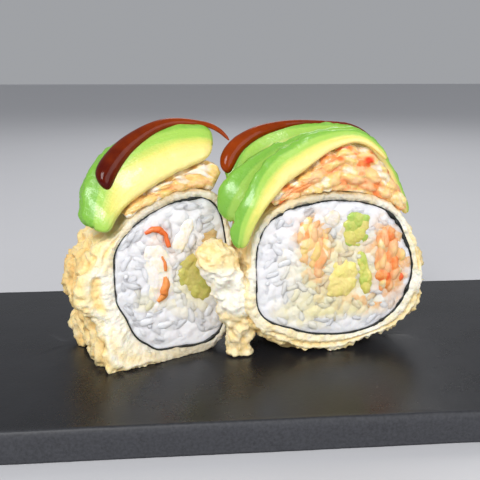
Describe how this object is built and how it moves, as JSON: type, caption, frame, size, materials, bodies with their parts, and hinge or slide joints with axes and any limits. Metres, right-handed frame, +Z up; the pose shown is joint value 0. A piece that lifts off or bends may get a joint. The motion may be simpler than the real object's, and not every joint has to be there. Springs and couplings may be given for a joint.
{
  "type": "sushi roll on a slate board",
  "caption": "Cut pieces of a batter-fried crab and avocado sushi roll, topped with crab salad, leaning avocado slices and a line of dark glaze, standing on a black slate board.",
  "frame": {"origin": "under the middle of the board, on the surface that it stands on", "axes": "+X along the board, +Y across it from the pieces' cut faces to their backs, +Z up"},
  "size_m": [0.2, 0.089, 0.0714],
  "materials": {
    "slate": "polished black slate",
    "batter": "crisp fried batter",
    "seaweed": "thin dried seaweed",
    "rice": "moist cooked rice",
    "crab": "moist shredded crab",
    "avocado": "fresh cut avocado with a syrupy glaze"
  },
  "bodies": {
    "root": {"board": "slate", "left_batter": "batter", "left_seaweed": "seaweed", "left_rice": "rice", "left_crab": "crab", "left_crab_stick": "crab", "left_crab_flake": "crab", "left_avocado_strip": "avocado", "left_crab_chunk": "crab", "left_avocado_1": "avocado", "left_avocado_2": "avocado", "left_avocado_3": "avocado", "left_avocado_4": "avocado", "right_batter": "batter", "right_seaweed": "seaweed", "right_rice": "rice", "right_crab": "crab", "right_crab_shreds": "crab", "right_avocado_high": "avocado", "right_crab_chunk": "crab", "right_avocado_low": "avocado", "right_avocado_side": "avocado", "right_crab_strips": "crab", "right_avocado_1": "avocado", "right_avocado_2": "avocado", "right_avocado_3": "avocado", "right_avocado_4": "avocado"}
  },
  "joints": []
}
